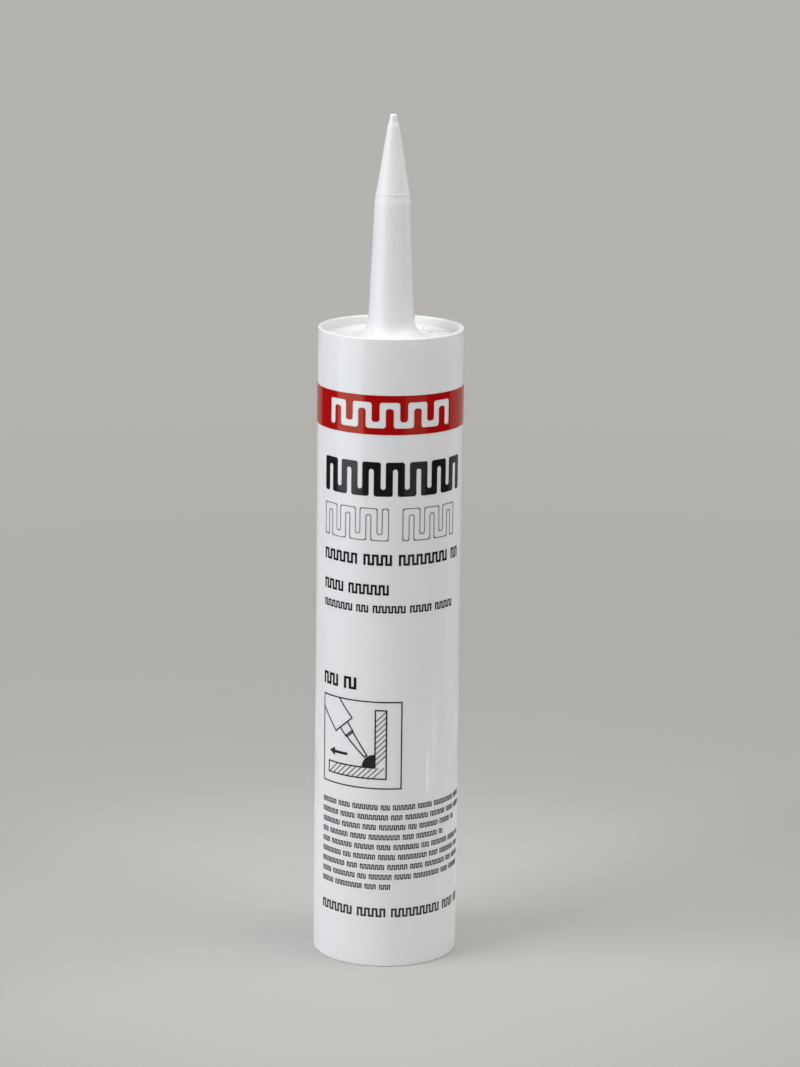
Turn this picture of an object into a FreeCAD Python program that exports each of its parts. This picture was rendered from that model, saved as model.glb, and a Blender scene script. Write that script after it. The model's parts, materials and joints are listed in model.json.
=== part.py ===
import FreeCAD, Part
import math
import os

# A caulk tube that fits a skeleton caulking gun. Its pieces are one moulded barrel with its
# nozzle, the plunger that slides in the barrel, the sealant between them, a foil seal under
# the nozzle and a band of ink printed round the barrel.
# The origin is the centre of the open rear end. +Z runs along the tube to the nozzle tip,
# and the printed front faces -Y. Lengths are millimetres and angles are degrees.

# Barrel
BARREL_LENGTH = 216.0
BARREL_DIAMETER = 48.8
BARREL_WALL = 1.3
BASE_EDGE_ROUND = 0.45
# Inside the rear mouth a short flare lets the plunger be pushed in.
LEAD_IN_HEIGHT = 2.0
LEAD_IN_WIDTH = 0.45

# Rim, and the end wall that lies recessed below it
RIM_WALL = 1.5
RIM_EDGE_ROUND = 0.4
RECESS_DEPTH = 3.3
RECESS_ROUND = 0.7
END_WALL = 1.5
END_WALL_INNER_ROUND = 0.8

# Nozzle. Its outline rises from the end wall as a slightly tapered shank, turns in over a
# small shoulder, runs up a long cone and ends in a closed stub that is cut off before use.
SHANK_FOOT_DIAMETER = 16.14
SHANK_TOP_DIAMETER = 12.16
SHANK_HEIGHT = 44.9
SHOULDER_HEIGHT = 1.3
SHOULDER_ROUND = 1.2
CONE_FOOT_DIAMETER = 11.68
CONE_TOP_DIAMETER = 3.9
CONE_HEIGHT = 23.75
NECK_HEIGHT = 1.65
NECK_DIAMETER = 2.76
NECK_ROUND = 0.9
TIP_DIAMETER = 2.4
TIP_HEIGHT = 2.3
TIP_ROUND = 1.05
FLARE_ROUND = 6.0
NOZZLE_WALL = 1.2
NOZZLE_BORE_END_ROUND = 0.3

# The mould's parting ring shows as a fine ridge round the foot of the cone.
RIDGE_ABOVE_CONE_FOOT = 1.7
RIDGE_WIDTH = 0.36
RIDGE_PROUD = 0.13

# Plain raised bars, moulded on the end wall beside the rim, in two short rows
MARK_ROWS = 2
MARKS_PER_ROW = 4
MARK_FROM_RECESS_WALL = 1.9
MARK_LENGTH = 2.1
MARK_ROW_GAP = 1.0
MARK_WIDTH = 1.1
MARK_PROUD = 0.3
MARK_FIRST_ANGLE = 29.0
MARK_ANGLE_STEP = 8.5

# Plunger: a cup that is open to the rear, with a wiping lip at each end of its skirt
PLUNGER_INSET = 15.0
PLUNGER_HEIGHT = 17.0
PLUNGER_CLEARANCE = 0.08
LIP_HEIGHT = 1.8
LIP_DEPTH = 0.7
LIP_SLOPE_HEIGHT = 0.9
LIP_ROUND = 0.25
PLUNGER_SKIRT_WALL = 1.7
PLUNGER_FRONT_WALL = 1.8
PLUNGER_BEVEL_WIDTH = 2.6
PLUNGER_BEVEL_HEIGHT = 2.2
PLUNGER_CUP_ROUND = 1.5
RIB_COUNT = 8
RIB_THICKNESS = 1.1
RIB_HEIGHT = 3.5
HUB_DIAMETER = 12.0
HUB_WALL = 1.2
# Ribs and hub are sunk this far into the walls that they grow from.
MOULDED_OVERLAP = 0.3

# Foil seal, welded to the inside of the end wall across the mouth of the nozzle
FOIL_THICKNESS = 0.15
FOIL_OVERLAP = 3.0

# Sealant: the filling between the plunger and the foil
SEALANT_CLEARANCE = 0.1
SEALANT_EDGE_ROUND = 0.5

# Print. The artwork is drawn flat, row below row from the rim to the foot, and then scaled so
# that it just covers the barrel's length. Places round the barrel are measured from the front
# centre, with those on the left negative. No words are printed. A line that folds up and down
# stands in the place of large ones, and plain bars in the place of small ones. A folded line
# is a row of posts, and each post is joined to the next at the top and at the foot by turns.
INK_THICKNESS = 0.05
FOLD_ROUND = 0.95
ARTWORK_LEFT = -25.2
ARTWORK_FOOT_MARGIN = 17.7

# The colour band leaves a meander of bare plastic on the front, like a bead that turns back.
BAND_BELOW_RIM = 18.8
BAND_HEIGHT = 13.1
MEANDER_LEFT = -22.4
MEANDER_ABOVE_BAND_FOOT = 2.2
MEANDER_HEIGHT = 8.6
MEANDER_LINE = 2.1
MEANDER_PITCH = 4.72
MEANDER_POST_COUNT = 10

# The headline is one bold folded line.
HEADLINE_BELOW_BAND = 9.2
HEADLINE_HEIGHT = 11.5
HEADLINE_LINE = 2.3
HEADLINE_PITCH = 4.0
HEADLINE_POST_COUNT = 14

# The second row is the thin outline of a folded line, in two groups.
OUTLINE_BELOW_HEADLINE = 4.0
OUTLINE_HEIGHT = 11.1
OUTLINE_WIDTH = 2.4
OUTLINE_PITCH = 3.8
OUTLINE_THICKNESS = 0.3
OUTLINE_GROUP_POSTS = (7, 6)
OUTLINE_GROUP_SPACE = 4.5

# Single lines of words: the gap above each line, its height and its length
FIRST_LINE_SIZES = (4.6, 3.7, 54.3)
SECOND_LINE_SIZES = (6.6, 3.5, 25.4)
THIRD_LINE_SIZES = (3.6, 2.5, 50.8)
CODE_LINE_SIZES = (22.8, 4.2, 14.6)
BOTTOM_LINE_SIZES = (6.7, 3.1, 60.4)

# The paragraph of small words
PARAGRAPH_BELOW_PICTURE = 5.55
PARAGRAPH_PITCH = 3.5
PARAGRAPH_LETTER_HEIGHT = 1.75
PARAGRAPH_LINE_LENGTHS = (60.0, 61.0, 54.6, 47.4, 60.5, 59.6, 60.2, 58.8, 27.0)
# Words and the gaps between them, as multiples of the height of the letters
WORD_RATIOS = (3.9, 2.6, 5.1, 1.7, 4.4, 3.2, 6.0, 2.2, 4.8)
WORD_GAP_RATIO = 0.62
SHORTEST_WORD_RATIO = 0.9

# The square frame of the small picture
PICTURE_BELOW_CODE = 3.5
PICTURE_SIDE = 30.5
PICTURE_LINE = 0.42

# Sizes that follow from those above
barrel_radius = BARREL_DIAMETER / 2.0
bore_radius = barrel_radius - BARREL_WALL
recess_radius = barrel_radius - RIM_WALL
end_wall_top = BARREL_LENGTH - RECESS_DEPTH
end_wall_underside = end_wall_top - END_WALL
foil_underside = end_wall_underside - FOIL_THICKNESS
plunger_front = PLUNGER_INSET + PLUNGER_HEIGHT
skirt_radius = bore_radius - PLUNGER_CLEARANCE - LIP_DEPTH
cup_radius = skirt_radius - PLUNGER_SKIRT_WALL

# Heights up the nozzle
shank_top = end_wall_top + SHANK_HEIGHT
cone_foot = shank_top + SHOULDER_HEIGHT
cone_top = cone_foot + CONE_HEIGHT
neck_top = cone_top + NECK_HEIGHT
tip_top = neck_top + TIP_HEIGHT

# Rows of the artwork, from the rim down: the gap above each row, and the row's whole height
paragraph_height = (
    PARAGRAPH_PITCH * (len(PARAGRAPH_LINE_LENGTHS) - 1) + PARAGRAPH_LETTER_HEIGHT
)
ARTWORK_ROWS = {
    "band": (BAND_BELOW_RIM, BAND_HEIGHT),
    "headline": (HEADLINE_BELOW_BAND, HEADLINE_HEIGHT),
    "outlines": (OUTLINE_BELOW_HEADLINE, OUTLINE_HEIGHT),
    "first line": FIRST_LINE_SIZES[:2],
    "second line": SECOND_LINE_SIZES[:2],
    "third line": THIRD_LINE_SIZES[:2],
    "code line": CODE_LINE_SIZES[:2],
    "picture": (PICTURE_BELOW_CODE, PICTURE_SIDE),
    "paragraph": (PARAGRAPH_BELOW_PICTURE, paragraph_height),
    "bottom line": BOTTOM_LINE_SIZES[:2],
}
artwork_height = sum(gap + height for gap, height in ARTWORK_ROWS.values())
artwork_height += ARTWORK_FOOT_MARGIN
artwork_scale = BARREL_LENGTH / artwork_height
row_foot = {}
reached = artwork_height
for row_name, (gap_above, row_height) in ARTWORK_ROWS.items():
    reached -= gap_above + row_height
    row_foot[row_name] = reached


def limited_tangent(corner, neighbours, wanted_round):
    """Unit directions along both legs of a corner, and the length that its round takes."""
    legs = [neighbour.sub(corner) for neighbour in neighbours]
    shortest = min(leg.Length for leg in legs)
    directions = [FreeCAD.Vector(leg).normalize() for leg in legs]
    half_angle = directions[0].getAngle(directions[1]) / 2.0
    tangent = min(wanted_round / math.tan(half_angle), 0.49 * shortest)
    return directions, half_angle, tangent


def rounded_face(corners):
    """A face in the XZ plane, from corners given as (radius, height, round)."""
    points = [FreeCAD.Vector(radius, 0, height) for radius, height, _ in corners]
    edges = []
    ends = []
    for index, (_, _, wanted_round) in enumerate(corners):
        corner = points[index]
        if wanted_round == 0:
            ends.append((corner, corner))
            continue
        neighbours = (points[index - 1], points[(index + 1) % len(points)])
        directions, half_angle, tangent = limited_tangent(corner, neighbours, wanted_round)
        start = corner + directions[0] * tangent
        end = corner + directions[1] * tangent
        inward = (directions[0] + directions[1]).normalize()
        to_centre = tangent / math.cos(half_angle)
        to_middle = to_centre - tangent * math.tan(half_angle)
        middle = corner + inward * to_middle
        edges.append(Part.Arc(start, middle, end).toShape())
        ends.append((start, end))
    for index, (start, _) in enumerate(ends):
        previous_end = ends[index - 1][1]
        if previous_end.distanceToPoint(start) > 1e-6:
            edges.append(Part.LineSegment(previous_end, start).toShape())
    wire = Part.Wire(Part.__sortEdges__(edges))
    return Part.Face(wire)


def turned(corners, angle=360.0):
    """The solid that the corners sweep when they turn about the tube's axis."""
    origin = FreeCAD.Vector(0, 0, 0)
    axis = FreeCAD.Vector(0, 0, 1)
    return rounded_face(corners).revolve(origin, axis, angle)


def cone_radius(height):
    """Outside radius of the nozzle's cone at a height."""
    share = (height - cone_foot) / CONE_HEIGHT
    return (CONE_FOOT_DIAMETER + share * (CONE_TOP_DIAMETER - CONE_FOOT_DIAMETER)) / 2.0


def shank_bore_foot_radius():
    """Where the bore of the shank, carried straight on, meets the inside of the end wall."""
    taper = (SHANK_FOOT_DIAMETER - SHANK_TOP_DIAMETER) / 2.0 / SHANK_HEIGHT
    return SHANK_FOOT_DIAMETER / 2.0 - NOZZLE_WALL + taper * END_WALL


def nozzle_outside():
    """Corners down the outside of the nozzle, from the tip to the end wall."""
    ridge_top = cone_foot + RIDGE_ABOVE_CONE_FOOT + RIDGE_WIDTH / 2.0
    ridge_bottom = ridge_top - RIDGE_WIDTH
    crest = RIDGE_WIDTH / 4.0
    return [
        (0.0, tip_top, 0),
        (TIP_DIAMETER / 2.0, tip_top, TIP_ROUND),
        (NECK_DIAMETER / 2.0, neck_top, NECK_ROUND),
        (CONE_TOP_DIAMETER / 2.0, cone_top, NECK_ROUND),
        (cone_radius(ridge_top), ridge_top, 0),
        (cone_radius(ridge_top - crest) + RIDGE_PROUD, ridge_top - crest, 0),
        (cone_radius(ridge_bottom + crest) + RIDGE_PROUD, ridge_bottom + crest, 0),
        (cone_radius(ridge_bottom), ridge_bottom, 0),
        (CONE_FOOT_DIAMETER / 2.0, cone_foot, SHOULDER_ROUND),
        (SHANK_TOP_DIAMETER / 2.0, shank_top, SHOULDER_ROUND),
        (SHANK_FOOT_DIAMETER / 2.0, end_wall_top, FLARE_ROUND),
    ]


def barrel_outline():
    """Corners from the foot of the nozzle out over the rim, down the barrel and up its bore."""
    return [
        (recess_radius, end_wall_top, RECESS_ROUND),
        (recess_radius, BARREL_LENGTH, RIM_EDGE_ROUND),
        (barrel_radius, BARREL_LENGTH, RIM_EDGE_ROUND),
        (barrel_radius, 0.0, BASE_EDGE_ROUND),
        (bore_radius + LEAD_IN_WIDTH, 0.0, 0),
        (bore_radius, LEAD_IN_HEIGHT, 0),
        (bore_radius, end_wall_underside, END_WALL_INNER_ROUND),
    ]


def nozzle_bore():
    """Corners up the bore of the nozzle, which stops below the closed stub."""
    return [
        (shank_bore_foot_radius(), end_wall_underside, FLARE_ROUND + END_WALL),
        (SHANK_TOP_DIAMETER / 2.0 - NOZZLE_WALL, shank_top, SHOULDER_ROUND),
        (CONE_FOOT_DIAMETER / 2.0 - NOZZLE_WALL, cone_foot, SHOULDER_ROUND),
        (CONE_TOP_DIAMETER / 2.0 - NOZZLE_WALL, cone_top, NOZZLE_BORE_END_ROUND),
        (0.0, cone_top, 0),
    ]


def raised_marks():
    """Short raised bars on the end wall, each a small sector of a ring."""
    marks = []
    outer = recess_radius - MARK_FROM_RECESS_WALL
    for row in range(MARK_ROWS):
        row_outer = outer - row * (MARK_LENGTH + MARK_ROW_GAP)
        row_inner = row_outer - MARK_LENGTH
        sweep = math.degrees(MARK_WIDTH / row_outer)
        for place in range(MARKS_PER_ROW):
            mark = turned(
                [
                    (row_inner, end_wall_top - MOULDED_OVERLAP, 0),
                    (row_outer, end_wall_top - MOULDED_OVERLAP, 0),
                    (row_outer, end_wall_top + MARK_PROUD, 0),
                    (row_inner, end_wall_top + MARK_PROUD, 0),
                ],
                sweep,
            )
            start = MARK_FIRST_ANGLE + place * MARK_ANGLE_STEP
            mark.rotate(FreeCAD.Vector(0, 0, 0), FreeCAD.Vector(0, 0, 1), start)
            marks.append(mark)
    return marks


def cartridge():
    """Barrel, end wall and nozzle, moulded in one piece."""
    body = turned(nozzle_outside() + barrel_outline() + nozzle_bore())
    return body.multiFuse(raised_marks())


def lip(low, high):
    """Corners down one wiping lip, from its upper slope to its lower one."""
    crest_radius = skirt_radius + LIP_DEPTH
    return [
        (crest_radius, high, LIP_ROUND),
        (crest_radius, low + LIP_SLOPE_HEIGHT, LIP_ROUND),
        (skirt_radius, low, LIP_ROUND),
    ]


def rear_lip():
    """Corners down the lip at the rear of the skirt, to the open edge of the cup."""
    crest_radius = skirt_radius + LIP_DEPTH
    crest_top = PLUNGER_INSET + LIP_HEIGHT
    return [
        (skirt_radius, crest_top + LIP_SLOPE_HEIGHT, LIP_ROUND),
        (crest_radius, crest_top, LIP_ROUND),
        (crest_radius, PLUNGER_INSET, LIP_ROUND),
    ]


def plunger():
    """The cup, with ribs across its floor and a short hub at their centre."""
    cup_floor = plunger_front - PLUNGER_FRONT_WALL
    lip_top = plunger_front - PLUNGER_BEVEL_HEIGHT
    lip_bottom = lip_top - LIP_HEIGHT - LIP_SLOPE_HEIGHT
    front_radius = skirt_radius + LIP_DEPTH - PLUNGER_BEVEL_WIDTH
    outline = [(0.0, plunger_front, 0), (front_radius, plunger_front, LIP_ROUND)]
    outline += lip(lip_bottom, lip_top)
    outline += rear_lip()
    outline += [
        (cup_radius, PLUNGER_INSET, LIP_ROUND),
        (cup_radius, cup_floor, PLUNGER_CUP_ROUND),
        (0.0, cup_floor, 0),
    ]
    pieces = [hub(cup_floor)]
    for number in range(RIB_COUNT):
        pieces.append(rib(cup_floor, 360.0 * number / RIB_COUNT))
    return turned(outline).multiFuse(pieces).removeSplitter()


def hub(cup_floor):
    """A short tube on the floor of the cup."""
    outer = HUB_DIAMETER / 2.0
    low = cup_floor - RIB_HEIGHT
    high = cup_floor + MOULDED_OVERLAP
    inner = outer - HUB_WALL
    return turned([(inner, low, 0), (outer, low, 0), (outer, high, 0), (inner, high, 0)])


def rib(cup_floor, angle):
    """One rib, from the hub to the wall of the cup."""
    start = HUB_DIAMETER / 2.0 - HUB_WALL / 2.0
    length = cup_radius + MOULDED_OVERLAP - start
    corner = FreeCAD.Vector(start, -RIB_THICKNESS / 2.0, cup_floor - RIB_HEIGHT)
    piece = Part.makeBox(length, RIB_THICKNESS, RIB_HEIGHT + MOULDED_OVERLAP, corner)
    piece.rotate(FreeCAD.Vector(0, 0, 0), FreeCAD.Vector(0, 0, 1), angle)
    return piece


def sealant():
    """The filling: a plain column with softened edges."""
    radius = bore_radius - SEALANT_CLEARANCE
    low = plunger_front + SEALANT_CLEARANCE
    high = foil_underside - SEALANT_CLEARANCE
    return turned(
        [
            (0.0, low, 0),
            (radius, low, SEALANT_EDGE_ROUND),
            (radius, high, END_WALL_INNER_ROUND),
            (0.0, high, 0),
        ]
    )


def foil_seal():
    """A disc that covers the flared mouth of the nozzle from inside."""
    mouth = shank_bore_foot_radius() + FLARE_ROUND + END_WALL
    radius = mouth + FOIL_OVERLAP
    return Part.makeCylinder(radius, FOIL_THICKNESS, FreeCAD.Vector(0, 0, foil_underside))


def patch(left, foot, width, height, inner, outer):
    """A sector of a ring between two radii, placed and sized as on the flat artwork."""
    low = foot * artwork_scale
    high = (foot + height) * artwork_scale
    corners = [(inner, low, 0), (outer, low, 0), (outer, high, 0), (inner, high, 0)]
    piece = turned(corners, math.degrees(width * artwork_scale / barrel_radius))
    from_front = math.degrees(left * artwork_scale / barrel_radius)
    piece.rotate(FreeCAD.Vector(0, 0, 0), FreeCAD.Vector(0, 0, 1), from_front - 90.0)
    return piece


def ink(left, foot, width, height):
    """A patch of ink on the outside of the barrel."""
    return patch(left, foot, width, height, barrel_radius, barrel_radius + INK_THICKNESS)


def folded_line(left, foot, height, line, pitch, posts):
    """A line that folds up and down, as a solid that runs through the film of ink."""
    inner = barrel_radius - INK_THICKNESS
    outer = barrel_radius + 2.0 * INK_THICKNESS
    strokes = []
    for post in range(posts):
        start = left + post * pitch
        strokes.append(patch(start, foot, line, height, inner, outer))
        if post < posts - 1:
            is_top = post % 2 == 0
            link_foot = foot + is_top * (height - line)
            strokes.append(patch(start, link_foot, pitch + line, line, inner, outer))
    folded = strokes[0].multiFuse(strokes[1:]).removeSplitter()
    depth = outer - inner
    corner_round = min(FOLD_ROUND, 0.48 * line, 0.48 * (pitch - line))
    short = [edge for edge in folded.Edges if abs(edge.Length - depth) < 0.01 * depth]
    return folded.makeFillet(corner_round * artwork_scale, short)


def ink_ring(row_name):
    """A film of ink all round the barrel, as high as one row of the artwork."""
    low = row_foot[row_name] * artwork_scale
    high = low + ARTWORK_ROWS[row_name][1] * artwork_scale
    outer = barrel_radius + INK_THICKNESS
    return turned([(barrel_radius, low, 0), (outer, low, 0), (outer, high, 0), (barrel_radius, high, 0)])


def printed_band():
    """The ring of ink near the rim, without the meander."""
    meander = folded_line(
        MEANDER_LEFT,
        row_foot["band"] + MEANDER_ABOVE_BAND_FOOT,
        MEANDER_HEIGHT,
        MEANDER_LINE,
        MEANDER_PITCH,
        MEANDER_POST_COUNT,
    )
    return ink_ring("band").cut(meander)


def printed_headline():
    """The bold folded line."""
    line = folded_line(
        ARTWORK_LEFT,
        row_foot["headline"],
        HEADLINE_HEIGHT,
        HEADLINE_LINE,
        HEADLINE_PITCH,
        HEADLINE_POST_COUNT,
    )
    return ink_ring("headline").common(line)


def printed_outlines():
    """Each group of the second row: a folded line, less the narrower line inside it."""
    groups = []
    left = ARTWORK_LEFT
    for posts in OUTLINE_GROUP_POSTS:
        foot = row_foot["outlines"]
        outside = folded_line(left, foot, OUTLINE_HEIGHT, OUTLINE_WIDTH, OUTLINE_PITCH, posts)
        inside = folded_line(
            left + OUTLINE_THICKNESS,
            foot + OUTLINE_THICKNESS,
            OUTLINE_HEIGHT - 2.0 * OUTLINE_THICKNESS,
            OUTLINE_WIDTH - 2.0 * OUTLINE_THICKNESS,
            OUTLINE_PITCH,
            posts,
        )
        groups.append(ink_ring("outlines").common(outside).cut(inside))
        left += (posts - 1) * OUTLINE_PITCH + OUTLINE_WIDTH + OUTLINE_GROUP_SPACE
    return Part.makeCompound(groups)


def words_in_row(foot, height, length, first_word):
    """Bars of ink for the words of one row, which end where the row ends."""
    words = []
    left = ARTWORK_LEFT
    right = ARTWORK_LEFT + length
    number = first_word
    gap = WORD_GAP_RATIO * height
    shortest = SHORTEST_WORD_RATIO * height
    while right - left > shortest:
        wanted = WORD_RATIOS[number % len(WORD_RATIOS)] * height
        room_after = right - left - wanted - gap
        width = wanted if room_after > shortest else right - left
        words.append(ink(left, foot, width, height))
        left += width + gap
        number += 1
    return words


def printed_lines():
    """The single lines of larger words."""
    lines = {
        "first line": FIRST_LINE_SIZES,
        "second line": SECOND_LINE_SIZES,
        "third line": THIRD_LINE_SIZES,
        "code line": CODE_LINE_SIZES,
        "bottom line": BOTTOM_LINE_SIZES,
    }
    words = []
    for number, (name, (_, height, length)) in enumerate(lines.items()):
        words += words_in_row(row_foot[name], height, length, number)
    return Part.makeCompound(words)


def printed_paragraph():
    """The block of small words."""
    words = []
    top_foot = row_foot["paragraph"] + paragraph_height - PARAGRAPH_LETTER_HEIGHT
    for number, length in enumerate(PARAGRAPH_LINE_LENGTHS):
        foot = top_foot - number * PARAGRAPH_PITCH
        words += words_in_row(foot, PARAGRAPH_LETTER_HEIGHT, length, 4 * number)
    return Part.makeCompound(words)


def printed_frame():
    """The square outline of the picture."""
    foot = row_foot["picture"]
    inside = patch(
        ARTWORK_LEFT + PICTURE_LINE,
        foot + PICTURE_LINE,
        PICTURE_SIDE - 2.0 * PICTURE_LINE,
        PICTURE_SIDE - 2.0 * PICTURE_LINE,
        barrel_radius - INK_THICKNESS,
        barrel_radius + 2.0 * INK_THICKNESS,
    )
    return ink(ARTWORK_LEFT, foot, PICTURE_SIDE, PICTURE_SIDE).cut(inside)


PIECES = {
    "cartridge": cartridge,
    "plunger": plunger,
    "sealant": sealant,
    "foil_seal": foil_seal,
    "printed_band": printed_band,
    "printed_headline": printed_headline,
    "printed_outlines": printed_outlines,
    "printed_lines": printed_lines,
    "printed_paragraph": printed_paragraph,
    "printed_frame": printed_frame,
}

os.makedirs("parts", exist_ok=True)
for name, make in PIECES.items():
    shape = make()
    if not shape.isValid():
        raise SystemExit("not a valid solid: " + name)
    print(name, "solids", len(shape.Solids), "ml", round(shape.Volume / 1000.0, 2))
    shape.exportStep("parts/" + name + ".step")

travel = foil_underside - plunger_front
print("heights: tip", tip_top, "end wall underside", end_wall_underside)
print("plunger front", plunger_front, "to foil", round(travel, 3))
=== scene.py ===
# %% [markdown]
# # A caulk tube, dressed for the camera
# The real thing is one white plastic moulding, barrel and nozzle together, with a plunger in
# its open rear, a filling, and thin films of printed ink. Those solids come packed from the
# workshop drawing, at real size, in metres, with the tube's axis on Z and its printed front
# towards -Y. This notebook loads them and never changes them. It gives each one a surface,
# draws the print that is too fine for the drawing, and sets a camera and soft lamps round it.

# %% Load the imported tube
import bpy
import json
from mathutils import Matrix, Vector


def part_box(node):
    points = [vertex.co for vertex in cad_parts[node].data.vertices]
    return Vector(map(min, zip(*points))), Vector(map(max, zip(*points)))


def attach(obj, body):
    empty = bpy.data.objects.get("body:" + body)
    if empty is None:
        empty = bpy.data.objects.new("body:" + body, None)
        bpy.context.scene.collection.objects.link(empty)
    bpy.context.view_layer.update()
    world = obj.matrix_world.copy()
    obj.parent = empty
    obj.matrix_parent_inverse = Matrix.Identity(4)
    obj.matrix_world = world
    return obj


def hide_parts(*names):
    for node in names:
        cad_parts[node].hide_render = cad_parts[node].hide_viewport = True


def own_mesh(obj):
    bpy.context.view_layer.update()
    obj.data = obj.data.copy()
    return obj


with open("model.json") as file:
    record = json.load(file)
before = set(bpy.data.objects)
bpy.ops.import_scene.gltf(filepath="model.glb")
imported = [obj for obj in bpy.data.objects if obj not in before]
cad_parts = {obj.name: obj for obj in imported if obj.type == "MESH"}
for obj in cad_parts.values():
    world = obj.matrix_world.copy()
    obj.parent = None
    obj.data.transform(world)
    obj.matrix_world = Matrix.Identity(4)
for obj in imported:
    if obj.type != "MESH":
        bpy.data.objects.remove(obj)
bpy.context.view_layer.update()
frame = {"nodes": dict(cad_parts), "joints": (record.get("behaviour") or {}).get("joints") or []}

print("solids:", ", ".join(sorted(frame["nodes"])))

# %% [markdown]
# Sizes are read from the solids, so a changed tube needs no new numbers here. Two radii
# matter most: the bare barrel's, and the outside of the ink that lies on it. Both are the X of
# the highest corner of a solid's box, because the tube stands on the origin.

# %% Read the sizes that everything else follows
import json
import math

import bpy
from mathutils import Matrix, Vector

MM = 0.001
HIGH = 1

barrel_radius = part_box("cartridge")[HIGH].x
ink_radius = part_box("printed_band")[HIGH].x
ink_thickness = ink_radius - barrel_radius
print("barrel radius", round(barrel_radius / MM, 3), "mm, ink", round(ink_thickness / MM, 3), "mm")

# %% [markdown]
# The photograph looks down on the tube at about 13 degrees, from about 1.2 m away, through a
# long lens. Its focal length is known in pixels of the picture. A lens setting in millimetres
# follows from it, because the sensor's width lies along the picture's longer side.

# %% Place the camera
PICTURE_HEIGHT = 1067
FOCAL_LENGTH_PIXELS = 3630
CAMERA_DISTANCE = 1.1903
CAMERA_HEIGHT = 0.4236
CAMERA_DIP = math.radians(13.157)
CAMERA_TURN = math.radians(0.181)
CAMERA_TILT = math.radians(0.702)

bpy.ops.object.camera_add()
camera = bpy.context.object
camera.name = "camera"
camera.data.lens = FOCAL_LENGTH_PIXELS / PICTURE_HEIGHT * camera.data.sensor_width
camera.matrix_world = (
    Matrix.Translation((0.0, -CAMERA_DISTANCE, CAMERA_HEIGHT))
    @ Matrix.Rotation(-CAMERA_TURN, 4, "Z")
    @ Matrix.Rotation(math.radians(90.0) - CAMERA_DIP, 4, "X")
    @ Matrix.Rotation(CAMERA_TILT, 4, "Z")
)
bpy.context.scene.camera = camera
bpy.context.scene.view_settings.view_transform = "Standard"
print("lens", round(camera.data.lens, 1), "mm")

# %% [markdown]
# A material in Blender is a tree of nodes. Wiring nodes by hand takes many lines, so two
# small classes do it. A Signal is one output socket, and it can be added and multiplied like
# a number, which adds the Math nodes. A Tree adds any other node in one call: its type, its
# settings, and the values or signals of its sockets.

# %% Signals that behave like numbers
class Signal:
    """One output socket of a node tree, which joins in arithmetic as a number does."""

    def __init__(self, tree, socket):
        self.tree = tree
        self.socket = socket

    def maths(self, operation, first, second=0.0):
        """The outcome of a Math node on one or two numbers or signals."""
        return self.tree.add("ShaderNodeMath", {"operation": operation}, {0: first, 1: second})

    def __add__(self, other):
        return self.maths("ADD", self, other)

    def __radd__(self, other):
        return self.maths("ADD", other, self)

    def __sub__(self, other):
        return self.maths("SUBTRACT", self, other)

    def __rsub__(self, other):
        return self.maths("SUBTRACT", other, self)

    def __mul__(self, other):
        return self.maths("MULTIPLY", self, other)

    def __rmul__(self, other):
        return self.maths("MULTIPLY", other, self)

    def __lt__(self, limit):
        return self.maths("LESS_THAN", self, limit)

    def __gt__(self, limit):
        return self.maths("GREATER_THAN", self, limit)

    def size(self):
        """The value without its sign."""
        return self.maths("ABSOLUTE", self)

    def root(self):
        """The square root of the value."""
        return self.maths("SQRT", self)

    def wave(self):
        """The sine of the value."""
        return self.maths("SINE", self)


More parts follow.
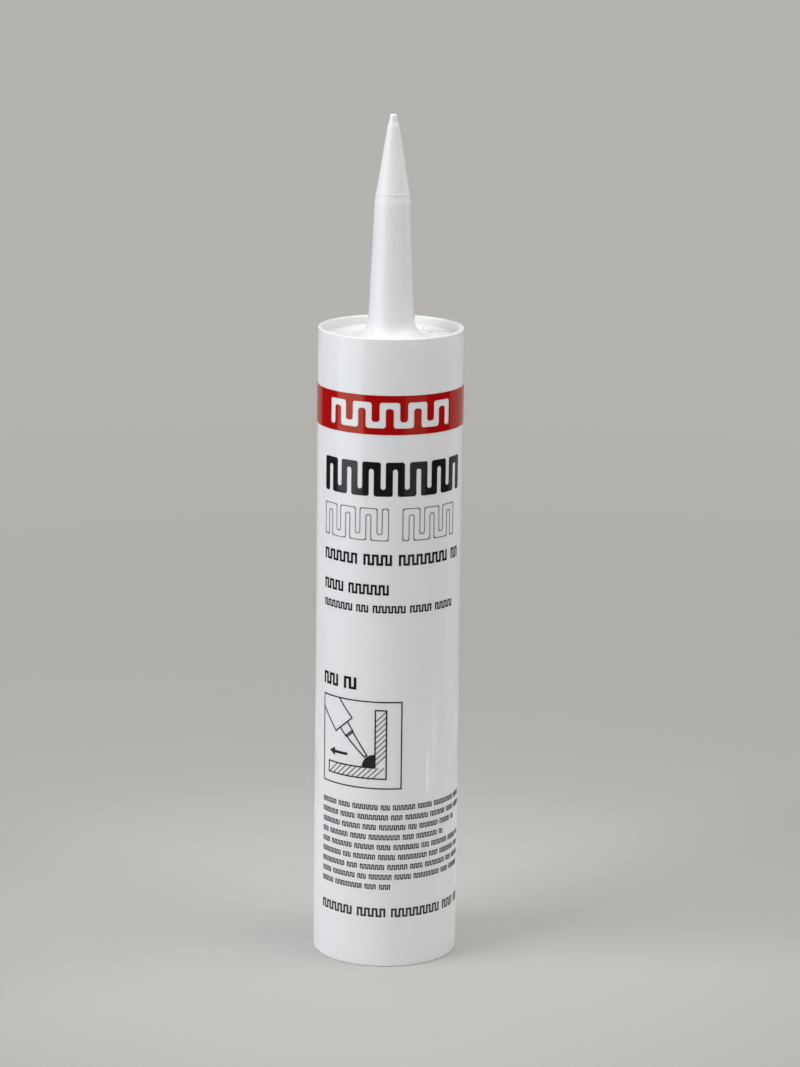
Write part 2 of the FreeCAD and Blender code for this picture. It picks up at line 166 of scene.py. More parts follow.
# %% Trees that take nodes in one call
class Tree:
    """The node tree of a material or of the world."""

    def __init__(self, owner):
        owner.use_nodes = True
        self.nodes = owner.node_tree.nodes
        self.links = owner.node_tree.links

    def feed(self, socket, value):
        """Links a signal into a socket, or sets the socket to a plain value."""
        if isinstance(value, Signal):
            self.links.new(value.socket, socket)
        else:
            socket.default_value = value

    def add(self, kind, settings, values, output=0):
        """Adds a node and gives one of its outputs as a signal."""
        node = self.nodes.new(kind)
        for name, value in settings.items():
            setattr(node, name, value)
        for name, value in values.items():
            self.feed(node.inputs[name], value)
        return Signal(self, node.outputs[output])

    def place(self):
        """Where a point lies on the tube, in metres."""
        return self.add("ShaderNodeTexCoord", {}, {}, "Object")

    def along(self, axis):
        """How far along X, Y or Z a point lies."""
        return self.add("ShaderNodeSeparateXYZ", {}, {"Vector": self.place()}, axis)

    def from_axis(self):
        """How far a point lies from the tube's own axis."""
        x = self.along("X")
        y = self.along("Y")
        return (x * x + y * y).root()

    def grain(self, size, stretch=1.0, detail=2.0):
        """Noise from 0 to 1 with features of a size in metres, drawn out along Z."""
        scaled = self.add(
            "ShaderNodeMapping",
            {},
            {"Vector": self.place(), "Scale": (1.0, 1.0, 1.0 / stretch)},
        )
        return self.add(
            "ShaderNodeTexNoise",
            {},
            {"Vector": scaled, "Scale": 1.0 / size, "Detail": detail},
            "Fac",
        )

    def step(self, signal, low, high):
        """Rises smoothly from 0 to 1 as the signal goes from low to high."""
        return self.add(
            "ShaderNodeMapRange",
            {"interpolation_type": "SMOOTHSTEP"},
            {"Value": signal, "From Min": low, "From Max": high},
        )

    def ramp(self, signal, stops):
        """A colour that passes smoothly through stops, given as (value, colour)."""
        lowest = stops[0][0]
        reach = stops[-1][0] - lowest
        node = self.nodes.new("ShaderNodeValToRGB")
        node.color_ramp.interpolation = "CARDINAL"
        places = [(value - lowest) / reach for value, _ in stops]
        for place in places[1:-1]:
            node.color_ramp.elements.new(place)
        for element, (_, stop_colour) in zip(node.color_ramp.elements, stops):
            element.color = stop_colour
        self.feed(node.inputs["Fac"], (signal - lowest) * (1.0 / reach))
        return Signal(self, node.outputs["Color"])

    def blend(self, share, first, second):
        """A colour between two colours."""
        # A Mix node has inputs and outputs of one name for numbers, vectors and colours,
        # so the ones for colours are picked by their numbers.
        return self.add("ShaderNodeMix", {"data_type": "RGBA"}, {0: share, 6: first, 7: second}, 2)

    def bump(self, height, depth):
        """A normal from a height of 0 to 1 that stands for a depth in metres."""
        return self.add("ShaderNodeBump", {}, {"Height": height, "Distance": depth}, "Normal")


# %% One material with its shader
class Surface(Tree):
    """A material, its Principled shader, and the solids and pieces that wear it."""

    def __init__(self, name):
        self.material = bpy.data.materials.new(name)
        super().__init__(self.material)
        self.shader = self.nodes["Principled BSDF"]

    def set(self, values):
        """Feeds the shader's sockets with numbers, colours or signals."""
        for name, value in values.items():
            self.feed(self.shader.inputs[name], value)

    def dress(self, piece):
        """Gives the material to every slot of a solid or piece."""
        if not piece.material_slots:
            piece.data.materials.append(self.material)
        for slot in piece.material_slots:
            slot.material = self.material
        print(self.material.name, "on", piece.name)


def colour(red, green, blue):
    """A colour for a socket, from linear red, green and blue."""
    return (red, green, blue, 1.0)


# %% [markdown]
# The cartridge is moulded from white polyethylene: evenly white, and glossy enough to show the
# edge of a lamp down its side. Light sinks a millimetre or two into it, which softens its
# shadows. What keeps it from looking like paint is small: a faint orange peel, slow waves from
# shrinkage, and flow lines that run with the tube. All of these are too shallow to model, so
# they are bump and roughness.

# %% White moulded plastic
PLASTIC_IOR = 1.5
WHITE = colour(0.87, 0.877, 0.888)
WHITE_SHADE = colour(0.845, 0.85, 0.857)
PEEL_SIZE = 0.8 * MM
PEEL_DEPTH = 0.004 * MM
WAVE_SIZE = 14.0 * MM
WAVE_DEPTH = 0.05 * MM
FLOW_LINE_WIDTH = 1.5 * MM
DULL_PATCH_SIZE = 6.0 * MM
SCATTER_DEPTH = 1.5 * MM


def white_plastic():
    surface = Surface("white_moulding")
    slow = surface.grain(WAVE_SIZE, stretch=3.0)
    flow = surface.grain(FLOW_LINE_WIDTH, stretch=40.0)
    peel = surface.grain(PEEL_SIZE)
    wavy = surface.bump(slow * (WAVE_DEPTH / PEEL_DEPTH) + peel, PEEL_DEPTH)
    surface.set(
        {
            "Base Color": surface.blend(0.7 * slow + 0.3 * flow, WHITE, WHITE_SHADE),
            "Roughness": 0.13 + 0.07 * flow + 0.04 * surface.grain(DULL_PATCH_SIZE),
            "Normal": wavy,
            "IOR": PLASTIC_IOR,
            "Subsurface Weight": 0.25,
            "Subsurface Scale": SCATTER_DEPTH,
            "Subsurface Radius": (1.0, 0.9, 0.8),
        }
    )
    return surface


white_moulding = white_plastic()
white_moulding.dress(frame["nodes"]["cartridge"])

# %% [markdown]
# Ink is printed on the finished barrel and cured to a gloss. Solid areas of it are never quite
# even: the film mottles, and a fine screen shows in it close up. The band goes all round, so
# its two ends overlap in a darker strip, which is turned to the back.

# %% Printed inks
SEAM_HALF_WIDTH = 1.0 * MM
MOTTLE_SIZE = 2.5 * MM
SPECK_SIZE = 0.25 * MM
FILM_ROUGHNESS_DEPTH = 0.006 * MM


def printed_ink(name, full, thin, gloss):
    """An ink between its full colour and the colour it has where the film is thin."""
    surface = Surface(name)
    mottle = surface.grain(MOTTLE_SIZE, detail=4.0)
    speck = surface.grain(SPECK_SIZE)
    seam = (surface.along("X").size() < SEAM_HALF_WIDTH) * (surface.along("Y") > 0.0)
    film = surface.step(mottle, 0.35, 0.8) * 0.7 + 0.3 * speck
    surface.set(
        {
            "Base Color": surface.blend(film * (1.0 - seam), full, thin),
            "Roughness": gloss + 0.06 * mottle,
            "Normal": surface.bump(mottle + 0.3 * speck, FILM_ROUGHNESS_DEPTH),
            "IOR": PLASTIC_IOR,
        }
    )
    return surface


red_ink = printed_ink("red_ink", colour(0.41, 0.001, 0.002), colour(0.45, 0.002, 0.003), 0.08)
red_ink.set({"Specular Tint": colour(1.0, 0.92, 0.6)})
black_ink = printed_ink("black_ink", colour(0.007, 0.007, 0.008), colour(0.013, 0.013, 0.015), 0.1)
grey_ink = printed_ink("grey_ink", colour(0.17, 0.17, 0.18), colour(0.23, 0.23, 0.24), 0.15)

red_ink.dress(frame["nodes"]["printed_band"])
black_ink.dress(frame["nodes"]["printed_headline"])
black_ink.dress(frame["nodes"]["printed_frame"])
grey_ink.dress(frame["nodes"]["printed_outlines"])

# %% [markdown]
# The plunger is a softer polyethylene, waxy and a little yellow beside the barrel. Its mould
# was turned on a lathe, so fine rings show on its faces.

# %% Waxy plunger plastic
RING_PITCH = 0.35 * MM
WAX_CLOUD_SIZE = 5.0 * MM
WAX_GRAIN_SIZE = 0.6 * MM
WAX_DEPTH = 0.012 * MM


def waxy_plastic():
    surface = Surface("plunger_moulding")
    rings = (surface.from_axis() * (math.tau / RING_PITCH)).wave()
    cloud = surface.grain(WAX_CLOUD_SIZE, detail=3.0)
    grain = surface.grain(WAX_GRAIN_SIZE)
    surface.set(
        {
            "Base Color": surface.blend(cloud, colour(0.74, 0.745, 0.73), colour(0.69, 0.70, 0.69)),
            "Roughness": 0.38 + 0.12 * cloud,
            "Normal": surface.bump(0.5 + 0.1 * rings + grain, WAX_DEPTH),
            "IOR": PLASTIC_IOR,
        }
    )
    return surface


plunger_moulding = waxy_plastic()
plunger_moulding.dress(frame["nodes"]["plunger"])

# %% [markdown]
# The foil seal is rolled aluminium, so its brightness comes from metal, and its fine streaks
# all run the way that it was rolled.

# %% Rolled foil
STREAK_SCALE = 300.0
STREAK_STRETCH = 30.0
ROLLED_DEPTH = 0.004 * MM


def rolled_foil():
    surface = Surface("foil")
    stretched = surface.add(
        "ShaderNodeMapping",
        {},
        {"Vector": surface.place(), "Scale": (1.0, STREAK_STRETCH, 1.0)},
    )
    streaks = surface.add(
        "ShaderNodeTexNoise",
        {},
        {"Vector": stretched, "Scale": STREAK_SCALE, "Detail": 4.0},
        "Fac",
    )
    surface.set(
        {
            "Base Color": surface.blend(streaks, colour(0.78, 0.78, 0.79), colour(0.66, 0.66, 0.68)),
            "Metallic": 1.0,
            "Roughness": 0.22 + 0.2 * streaks,
            "Normal": surface.bump(streaks, ROLLED_DEPTH),
        }
    )
    return surface


foil = rolled_foil()
foil.dress(frame["nodes"]["foil_seal"])

# %% [markdown]
# From here on, pieces are modelled with the same operators that the menus and keys call. An
# operator acts on everything that is selected, and the loaded solids start out selected, so
# each step first leaves exactly one piece selected and active.

# %% Select one piece, or some of its faces or corners
def only(piece):
    """Leaves this one piece selected and active."""
    bpy.ops.object.select_all(action="DESELECT")
    piece.select_set(True)
    bpy.context.view_layer.objects.active = piece


def named(name):
    """Names the piece that was just added, and its mesh."""
    piece = bpy.context.object
    piece.name = name
    piece.data.name = name
    return piece


def edit(piece, kind, chosen):
    """Opens a piece for editing with the faces or vertices of these numbers selected."""
    only(piece)
    bpy.ops.object.mode_set(mode="EDIT")
    bpy.ops.mesh.select_mode(type=kind)
    bpy.ops.mesh.select_all(action="DESELECT")
    bpy.ops.object.mode_set(mode="OBJECT")
    elements = piece.data.polygons if kind == "FACE" else piece.data.vertices
    for number in chosen:
        elements[number].select = True
    bpy.ops.object.mode_set(mode="EDIT")


def done():
    """Closes edit mode."""
    bpy.ops.object.mode_set(mode="OBJECT")


def settle():
    """Puts the place, turn and scale of the selected piece into its mesh."""
    bpy.ops.object.transform_apply(location=True, rotation=True, scale=True)


# %% [markdown]
# The smaller print is drawn as a printer's film is: flat, in the XZ plane, where a distance to
# the side is a distance round the barrel. Then it gets the thickness of ink and is bent round.
# Blender's bend leaves the centre of the curve one radius behind the drawing, so a shift of one
# radius to the front lays it on the barrel.

# %% Bend a flat drawing round the barrel
SMOOTH_BELOW = math.radians(30.0)


def apply(piece, kind, **settings):
    """Adds a modifier to the piece, sets it and applies it."""
    only(piece)
    modifier = piece.modifiers.new(kind.lower(), kind)
    for name, value in settings.items():
        setattr(modifier, name, value)
    bpy.ops.object.modifier_apply(modifier=modifier.name)


def wrap_round_barrel(drawing):
    apply(drawing, "SOLIDIFY", thickness=ink_thickness, offset=1.0)
    sides = [vertex.co.x for vertex in drawing.data.vertices]
    turn = (max(sides) - min(sides)) / barrel_radius
    apply(drawing, "SIMPLE_DEFORM", deform_method="BEND", deform_axis="Z", angle=turn)
    only(drawing)
    bpy.ops.transform.translate(value=(0.0, -barrel_radius, 0.0))
    settle()
    bpy.ops.object.shade_smooth_by_angle(angle=SMOOTH_BELOW)
    reach = [math.hypot(vertex.co.x, vertex.co.y) / MM for vertex in drawing.data.vertices]
    print(drawing.name, "lies from", round(min(reach), 3), "to", round(max(reach), 3), "mm")


# %% [markdown]
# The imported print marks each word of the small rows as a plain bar. The bars could be typed
# in again here, but then a changed row would leave its words behind. So their places are read
# from a copy of the solid: the copy's loose triangles are merged, its bars fall apart as
# separate meshes, and each one's corners are unrolled from the barrel onto the flat drawing.

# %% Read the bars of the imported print
def bars_of(node):
    """Left, right, foot and top of each bar, unrolled from the barrel."""
    copy = frame["nodes"][node].copy()
    copy.data = copy.data.copy()
    bpy.context.scene.collection.objects.link(copy)
    only(copy)
    bpy.ops.object.mode_set(mode="EDIT")
    bpy.ops.mesh.select_all(action="SELECT")
    bpy.ops.mesh.remove_doubles(threshold=0.001 * MM)
    bpy.ops.mesh.separate(type="LOOSE")
    done()
    bars = []
    for part in list(bpy.context.selected_objects):
        corners = [vertex.co for vertex in part.data.vertices]
        sides = [math.atan2(co.x, -co.y) * barrel_radius for co in corners]
        heights = [co.z for co in corners]
        bars.append((min(sides), max(sides), min(heights), max(heights)))
        bpy.data.objects.remove(part)
    return sorted(bars)


line_bars = bars_of("printed_lines")
paragraph_bars = bars_of("printed_paragraph")
print(len(line_bars), "words in lines,", len(paragraph_bars), "in the paragraph")

# %% [markdown]
# No letters are drawn. Each word is one line that folds up and down, like a bead of sealant
# that turns back on itself, which gives the grey of print from a step away. It is cut from a
# grid with five rows: the columns are by turns a post and a gap, and a gap keeps only its top
# or its bottom cell.

# %% Fold a line into a word
ROWS = 5
FEWEST_POSTS = 2


def keeps_cell(column, row):
    """Whether a cell of the grid belongs to the folded line."""
    if column % 2 == 0:
        return True
    is_joined_at_top = column % 4 == 1
    return row == (ROWS - 1 if is_joined_at_top else 0)


def folded_word(bar):
    """A folded line as large as the bar, with cells as nearly square as whole posts allow."""
    left, right, foot, top = bar
    width = right - left
    height = top - foot
    posts = max(FEWEST_POSTS, round((width * ROWS / height + 1) / 2))
    columns = 2 * posts - 1
    bpy.ops.mesh.primitive_grid_add(
        x_subdivisions=columns,
        y_subdivisions=ROWS,
        size=1.0,
        location=((left + right) / 2, 0.0, (foot + top) / 2),
        rotation=(math.radians(90.0), 0.0, 0.0),
    )
    word = named("word")
    word.scale = (width, height, 1.0)
    settle()
    gone = []
    for face in word.data.polygons:
        column = int((face.center.x - left) / width * columns)
        row = int((face.center.z - foot) / height * ROWS)
        if not keeps_cell(column, row):
            gone.append(face.index)
    edit(word, "FACE", gone)
    bpy.ops.mesh.delete(type="FACE")
    done()
    return word


# %% Join the words of one block of print
def joined(name, parts):
    """One piece from many."""
    only(parts[0])
    for part in parts:
        part.select_set(True)
    bpy.ops.object.join()
    return named(name)


line_words = joined("line_words", [folded_word(bar) for bar in line_bars])
paragraph_words = joined("paragraph_words", [folded_word(bar) for bar in paragraph_bars])

for words, node in ((line_words, "printed_lines"), (paragraph_words, "printed_paragraph")):
    wrap_round_barrel(words)
    black_ink.dress(words)
    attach(words, "cartridge")
    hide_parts(node)

# %% [markdown]
# Inside the square frame goes a small how-to picture of our own: a floor that meets a wall, cut
# through and hatched, the bead of sealant in their corner, and a nozzle that lays it. All of
# its lines are bars of even width. Each bar is a strip that is subdivided along its length, so
# that it can bend, and runs on past its corners by half its width, so that they close.

# %% Strokes and filled shapes for the picture
PICTURE_LINE = 0.45 * MM
LONGEST_CHORD = 0.8 * MM

frame_low, frame_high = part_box("printed_frame")
picture_left = math.asin(frame_low.x / ink_radius) * barrel_radius
picture_foot = frame_low.z
picture_side = frame_high.z - picture_foot
print("picture of", round(picture_side / MM, 2), "mm from", round(picture_left / MM, 2), "mm")


def on_picture(x, z):
    """A point of the picture, given in millimetres from the frame's lower left corner."""
    return Vector((picture_left + x * MM, 0.0, picture_foot + z * MM))


def stroke(start, end, line=PICTURE_LINE, past_end=PICTURE_LINE / 2):
    """A straight bar of ink from one point of the picture to another."""
    run = end - start
    length = run.length + 2.0 * past_end
    bpy.ops.mesh.primitive_grid_add(
        x_subdivisions=max(1, math.ceil(length / LONGEST_CHORD)),
        y_subdivisions=1,
        size=1.0,
        location=(start + end) / 2,
        rotation=(math.radians(90.0), -math.atan2(run.z, run.x), 0.0),
    )
    bar = named("stroke")
    bar.scale = (length, line, 1.0)
    settle()
    return bar


def outline(points):
    """Strokes from each point to the next."""
    return [stroke(start, end) for start, end in zip(points, points[1:])]


def filled(centre, radius, corners, turn=0.0):
    """A filled round or regular shape, subdivided so that it can bend."""
    bpy.ops.mesh.primitive_circle_add(
        vertices=corners,
        radius=radius,
        fill_type="TRIFAN",
        location=centre,
        rotation=(math.radians(90.0), -turn, 0.0),
    )
    shape = named("filled_shape")
    settle()
    bpy.ops.object.mode_set(mode="EDIT")
    bpy.ops.mesh.select_all(action="SELECT")
    bpy.ops.mesh.subdivide(number_cuts=3)
    done()
    return shape


def keep_side(shape, point, outward):
    """Cuts a flat shape along a line and drops the side that outward points to."""
    only(shape)
    bpy.ops.object.mode_set(mode="EDIT")
    bpy.ops.mesh.select_all(action="SELECT")
    bpy.ops.mesh.bisect(plane_co=point, plane_no=outward, clear_outer=True)
    done()


# %% Draw the corner that is being sealed
WALL_X = 21.4
WALL_THICKNESS = 3.8
WALL_TOP = 27.4
FLOOR_Z = 7.4
FLOOR_LEFT = 3.1
BEAD_RADIUS = 4.6

outside_x = WALL_X + WALL_THICKNESS
underside_z = FLOOR_Z - WALL_THICKNESS
section = [
    on_picture(FLOOR_LEFT, FLOOR_Z),
    on_picture(WALL_X, FLOOR_Z),
    on_picture(WALL_X, WALL_TOP),
    on_picture(outside_x, WALL_TOP),
    on_picture(outside_x, underside_z),
    on_picture(FLOOR_LEFT, underside_z),
    on_picture(FLOOR_LEFT, FLOOR_Z),
]
picture_parts = outline(section)
print("section drawn with", len(picture_parts), "strokes")

# %% [markdown]
# What is cut through is hatched, as in a workshop drawing: thin slanted lines, one every step.
# A texture could draw them, but print on the tube is real shapes, so each line is one more
# stroke, and a loop sets them up the wall and along the floor. The bead fills the corner: a
# disc, cut twice, leaves the quarter that lies between the wall and the floor.

# %% Hatch the cut wall and floor
HATCH_STEP = 1.9
HATCH_LINE = 0.6 * PICTURE_LINE
FIRST_ON_WALL = 0.4 * HATCH_STEP
FIRST_ON_FLOOR = 0.2 * HATCH_STEP


def hatching(first_foot, step, count):
    """Thin slanted strokes through the thickness of the wall or the floor."""
    through = Vector((WALL_THICKNESS, 0.0, WALL_THICKNESS)) * MM
    feet = [first_foot + step * number for number in range(count)]
    return [stroke(foot, foot + through, HATCH_LINE, past_end=0.0) for foot in feet]


picture_parts += hatching(
    on_picture(WALL_X, FLOOR_Z + FIRST_ON_WALL),
    Vector((0.0, 0.0, HATCH_STEP)) * MM,
    round((WALL_TOP - FLOOR_Z - WALL_THICKNESS) / HATCH_STEP),
)
picture_parts += hatching(
    on_picture(FLOOR_LEFT + FIRST_ON_FLOOR, underside_z),
    Vector((HATCH_STEP, 0.0, 0.0)) * MM,
    round((WALL_X - FLOOR_LEFT) / HATCH_STEP),
)

# %% Fill the corner with its bead
bead_centre = on_picture(WALL_X, FLOOR_Z)
bead = filled(bead_centre, BEAD_RADIUS * MM, corners=48)
keep_side(bead, bead_centre, (1.0, 0.0, 0.0))
keep_side(bead, bead_centre, (0.0, 0.0, -1.0))
picture_parts.append(bead)
print("corner drawn with", len(picture_parts), "strokes and shapes")

# %% [markdown]
# The nozzle leans in from the upper left. Its outline is given as a profile, half the width at
# each reach from the tip, and the frame cuts its body off.

# %% Draw the nozzle that lays the sealant
NOZZLE_LEAN = math.radians(130.0)
NOZZLE_PROFILE = [(0.0, 0.55), (9.0, 1.5), (9.6, 1.75), (13.0, 1.9), (13.0, 4.3), (26.0, 4.3)]

lean = Vector((math.cos(NOZZLE_LEAN), 0.0, math.sin(NOZZLE_LEAN)))
across = Vector((-lean.z, 0.0, lean.x))
tip = bead_centre + lean * (BEAD_RADIUS * MM + PICTURE_LINE)


def nozzle_side(side):
    """The points of one side, for a side of 1 or -1."""
    return [tip + (lean * reach + across * half * side) * MM for reach, half in NOZZLE_PROFILE]


left_side = nozzle_side(-1.0)
right_side = nozzle_side(1.0)
nozzle_parts = outline(left_side) + outline(right_side)
# Every pair of points but the last, which lies past the frame, gets a line across the nozzle.
for left_point, right_point in list(zip(left_side, right_side))[:-1]:
    nozzle_parts.append(stroke(left_point, right_point, past_end=0.0))
nozzle_drawing = joined("nozzle_drawing", nozzle_parts)
keep_side(nozzle_drawing, on_picture(0.0, 0.0), (-1.0, 0.0, 0.0))
keep_side(nozzle_drawing, on_picture(0.0, picture_side / MM), (0.0, 0.0, 1.0))
picture_parts.append(nozzle_drawing)
print("nozzle outline with", len(nozzle_drawing.data.polygons), "faces")

# %% Draw the arrow that shows the way to pull
ARROW_Z = 11.2
ARROW_TAIL_X = 11.4
ARROW_HEAD_X = 5.2
ARROW_HEAD_RADIUS = 1.7

arrow_head = on_picture(ARROW_HEAD_X, ARROW_Z)
arrow_tail = on_picture(ARROW_TAIL_X, ARROW_Z)
picture_parts.append(stroke(arrow_head, arrow_tail, 2.0 * PICTURE_LINE, past_end=0.0))
picture_parts.append(
    filled(arrow_head, ARROW_HEAD_RADIUS * MM, corners=3, turn=math.radians(90.0))
)

picture_drawing = joined("picture_drawing", picture_parts)
wrap_round_barrel(picture_drawing)
black_ink.dress(picture_drawing)
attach(picture_drawing, "cartridge")
print("picture drawn with", len(picture_drawing.data.polygons), "faces")

# %% [markdown]
# The filling shortens as the plunger comes forward. A rigid solid can't, so the scene has its
# own column of sealant, with the dimple and the folded ring that a filling machine leaves. The
# share of it that the plunger's travel leaves is worked out and printed.

# %% The column of sealant
SEALANT_SEGMENTS = 96
FACES_UP = 0.9
FOLD_INSETS = (3.5 * MM, 2.5 * MM, 4.0 * MM)
FOLD_SINKS = (-0.35 * MM, 0.25 * MM, -0.45 * MM)

sealant_low, sealant_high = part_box("sealant")
bpy.ops.mesh.primitive_cylinder_add(
    vertices=SEALANT_SEGMENTS,
    radius=sealant_high.x,
    depth=sealant_high.z - sealant_low.z,
    location=(0.0, 0.0, (sealant_low.z + sealant_high.z) / 2),
)
sealant_fill = named("sealant_fill")
settle()
cap = [face.index for face in sealant_fill.data.polygons if face.normal.z > FACES_UP]
edit(sealant_fill, "FACE", cap)
for inset, sink in zip(FOLD_INSETS, FOLD_SINKS):
    bpy.ops.mesh.inset(thickness=inset)
    bpy.ops.mesh.extrude_region_move(TRANSFORM_OT_translate={"value": (0.0, 0.0, sink)})
done()
apply(
    sealant_fill,
    "BEVEL",
    width=0.3 * MM,
    segments=3,
    limit_method="ANGLE",
    angle_limit=SMOOTH_BELOW,
)
only(sealant_fill)
bpy.ops.object.shade_smooth_by_angle(angle=SMOOTH_BELOW)
print("sealant column", [round(side / MM, 2) for side in sealant_fill.dimensions], "mm")


# %% White sealant paste
PASTE_FOLD_SIZE = 3.0 * MM
PASTE_FOLD_DEPTH = 0.2 * MM


def paste():
    surface = Surface("sealant_paste")
    fold = surface.grain(PASTE_FOLD_SIZE, stretch=0.5, detail=3.0)
    surface.set(
        {
            "Base Color": surface.blend(fold, colour(0.84, 0.84, 0.82), colour(0.78, 0.78, 0.76)),
            "Roughness": 0.3 + 0.15 * fold,
            "Normal": surface.bump(fold, PASTE_FOLD_DEPTH),
        }
    )
    return surface


paste().dress(sealant_fill)
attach(sealant_fill, "cartridge")
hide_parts("sealant")

slide = next(joint for joint in frame["joints"] if joint["name"] == "plunger_slide")
travel = slide["range_m"][1]
left_over = 1.0 - travel / (sealant_high.z - sealant_low.z)
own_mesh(sealant_fill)
print("the plunger travels", round(travel / MM, 1), "mm and leaves", round(left_over, 4))

# %% [markdown]
# The tube stands on a pale paper floor. In the photo it is palest round the tube and darkest a
# little way off. That pool of light and the shade round it are painted into the paper's colour,
# which follows its distance from the tube. Far off it fades into the world's tone, and no edge or
# horizon shows. It is made paler for the light that it throws back at the tube, and dark for rays
# that come from a reflection, apart from the paper close by: a studio is dark beyond its lamps,
# and the gloss of the barrel shows that.

# %% The floor
FLOOR_REACH = 3.0
# Painted light and shade: each tone stands behind its distance from the tube's axis, in metres.
FLOOR_PAINTED_LIGHT = [
    (0.05, (0.535, 0.531, 0.514)),
    (0.085, (0.512, 0.508, 0.492)),
    (0.12, (0.494, 0.489, 0.474)),
    (0.16, (0.469, 0.461, 0.443)),
    (0.22, (0.433, 0.424, 0.406)),
    (0.33, (0.429, 0.420, 0.402)),
    (0.49, (0.445, 0.436, 0.415)),
    (0.71, (0.500, 0.489, 0.465)),
    (1.1, (0.580, 0.566, 0.540)),
]
FADE_FROM = 0.5
FADE_TO = 1.1
FIBRE_SIZE = 0.4 * MM
FIBRE_DEPTH = 0.01 * MM
BOUNCE_TONE = colour(0.67, 0.668, 0.66)
SEEN_IN_GLOSS = 0.05
GLOSS_DARK_FROM = 0.1
GLOSS_DARK_TO = 0.4


def paper():
    surface = Surface("floor_paper")
    fibre = surface.grain(FIBRE_SIZE, detail=3.0)
    distance = surface.from_axis()
    # The camera sees these tones, which are painted light and shade, palest round the tube.
    seen = surface.ramp(distance, [(place, colour(*tone)) for place, tone in FLOOR_PAINTED_LIGHT])
    is_camera = surface.add("ShaderNodeLightPath", {}, {}, "Is Camera Ray")
    is_gloss = surface.add("ShaderNodeLightPath", {}, {}, "Is Glossy Ray")
    far = surface.step(distance, GLOSS_DARK_FROM, GLOSS_DARK_TO)
    lit = surface.blend(is_camera, BOUNCE_TONE, seen)
    tone = surface.blend(is_gloss * far * (1.0 - SEEN_IN_GLOSS), lit, colour(0.0, 0.0, 0.0))
    surface.set(
        {
            "Base Color": tone,
            "Roughness": 0.85 + 0.1 * fibre,
            "Specular IOR Level": 0.1,
            "Normal": surface.bump(fibre, FIBRE_DEPTH),
            "Alpha": 1.0 - is_camera * surface.step(distance, FADE_FROM, FADE_TO),
        }
    )
    return surface


bpy.ops.mesh.primitive_plane_add(size=2.0 * FLOOR_REACH)
floor = named("floor")
paper().dress(floor)

# %% [markdown]
# Soft light comes from large glowing panels. A panel's power is its glow times its area times
# pi, so the glow is what is set: a white wall lit to a glow of 1 would render as plain white.
# Each upright panel stands round the tube between two bearings from the front. What the gloss
# of the barrel mirrors has to stand close by. What lights the scene stands so far off that the
# floor in view has no edge of light on it, so a low panel is two lamps, one for each. Two cards
# behind the tube give the barrel its pale edges, and two slits its fine streaks at the right.

# %% Lamps
LIGHT_DISTANCE = 1.5
CARD_DISTANCE = 0.25
CARD_HEIGHTS = (0.0, 0.17)
SLIT_DISTANCE = 0.2


def panel(name, glow, tint, size, place, look_at):
    """A glowing rectangle that the camera doesn't see."""
    bpy.ops.object.light_add(type="AREA", location=place)
    lamp = bpy.context.object
    lamp.name = name
    lamp.data.shape = "RECTANGLE"
    lamp.data.size, lamp.data.size_y = size
    lamp.data.energy = glow * math.pi * size[0] * size[1]
    lamp.data.color = tint
    lamp.visible_camera = False
    lamp.rotation_euler = (Vector(look_at) - Vector(place)).to_track_quat("-Z", "Y").to_euler()
    return lamp


def upright_panel(name, glow, tint, bearings, distance, heights):
    """A panel between two angles from the front and between two heights."""
    bearing = math.radians(sum(bearings) / 2)
    half = math.radians((bearings[1] - bearings[0]) / 2)
    size = (2.0 * distance * math.tan(half), heights[1] - heights[0])
    middle = sum(heights) / 2
    place = (distance * math.sin(bearing), -distance * math.cos(bearing), middle)
    return panel(name, glow, tint, size, place, (0.0, 0.0, middle))


def shine(name, glow, tint, bearings, distance, heights):
    """An upright panel that shows in gloss and lights nothing else."""
    lamp = upright_panel(name, glow, tint, bearings, distance, heights)
    lamp.visible_diffuse = False


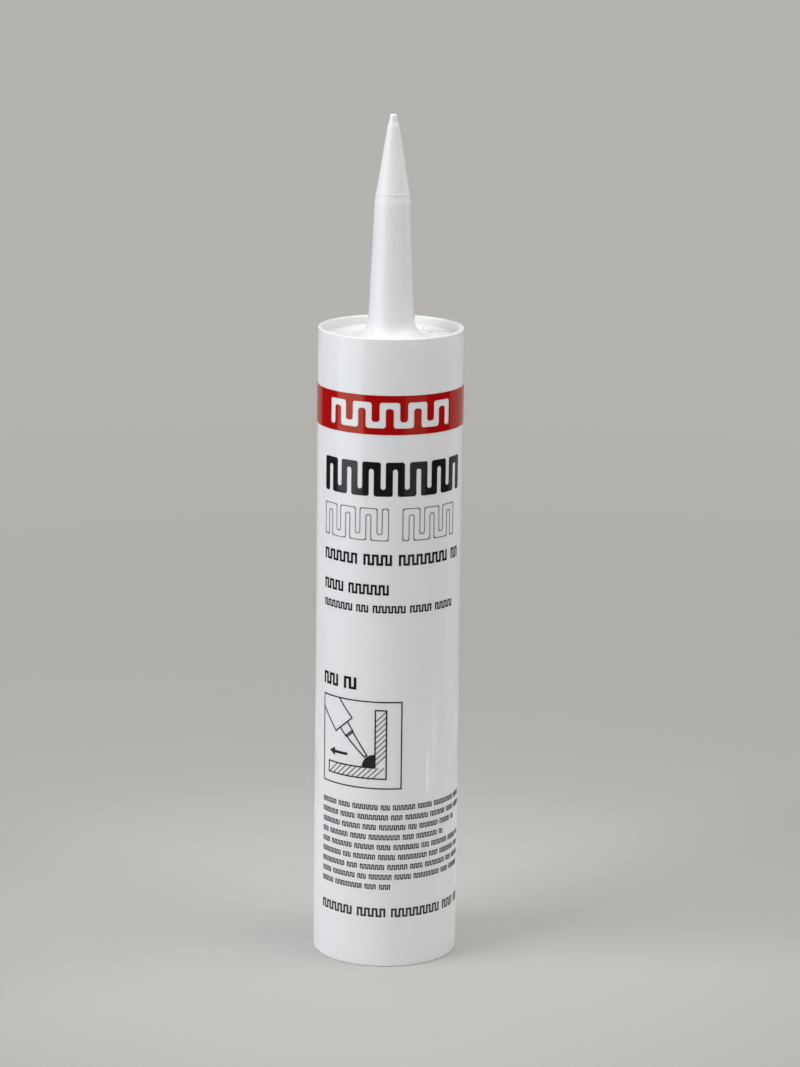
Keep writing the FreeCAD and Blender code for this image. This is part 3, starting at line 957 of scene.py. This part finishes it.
def low_panel(name, glow, tint, bearings, distance, top):
    """A shine that stands on the floor, and the same panel farther off, which gives its light."""
    shine(name + "_shine", glow, tint, bearings, distance, (0.0, top))
    far_top = top * LIGHT_DISTANCE / distance
    light = upright_panel(name, glow, tint, bearings, LIGHT_DISTANCE, (0.0, far_top))
    light.visible_glossy = False


COOL = (0.93, 0.955, 1.0)
WARM = (1.0, 0.985, 0.955)
# A bearing of 0 degrees is the front, and 90 degrees is to the tube's right as the camera sees it.
low_panel("left_panel", 1.56, COOL, (-89.0, -42.0), 0.7, 0.5)
low_panel("right_panel", 0.38, WARM, (23.0, 58.0), 0.5, 0.3)
upright_panel("left_upper_panel", 4.15, COOL, (-89.0, -42.0), LIGHT_DISTANCE, (1.0, 2.5))
upright_panel("right_upper_panel", 3.1, WARM, (50.0, 110.0), LIGHT_DISTANCE, (1.1, 2.4))
shine("left_card", 0.35, WARM, (-165.0, -131.0), CARD_DISTANCE, CARD_HEIGHTS)
shine("right_card", 0.35, WARM, (105.0, 165.0), CARD_DISTANCE, CARD_HEIGHTS)
shine("tall_slit", 14.0, WARM, (78.0, 79.2), SLIT_DISTANCE, (0.016, 0.039))
shine("short_slit", 26.0, WARM, (65.4, 66.6), SLIT_DISTANCE, (0.008, 0.02))
panel("top_panel", 1.6, WARM, (1.6, 1.6), (0.0, 0.1, 1.4), (0.0, 0.1, 0.0))

# %% [markdown]
# The world fills the shadows with a little even light. The camera sees it where the floor has
# faded out, and there it takes the floor's tone. A mirror or a lens would show that tone too,
# so rays that come from gloss or through glass count as the camera's.

# %% The world's fill light
FILL_GLOW = 0.135
FAR_TONE = colour(0.460, 0.449, 0.427)


def fill_light():
    world = bpy.data.worlds.new("studio")
    bpy.context.scene.world = world
    tree = Tree(world)
    is_camera = tree.add("ShaderNodeLightPath", {}, {}, "Is Camera Ray")
    is_gloss = tree.add("ShaderNodeLightPath", {}, {}, "Is Glossy Ray")
    is_glass = tree.add("ShaderNodeLightPath", {}, {}, "Is Transmission Ray")
    fill = colour(FILL_GLOW, FILL_GLOW, FILL_GLOW)
    seen = tree.blend(is_camera + is_gloss + is_glass, fill, FAR_TONE)
    tree.feed(tree.nodes["Background"].inputs["Color"], seen)


fill_light()
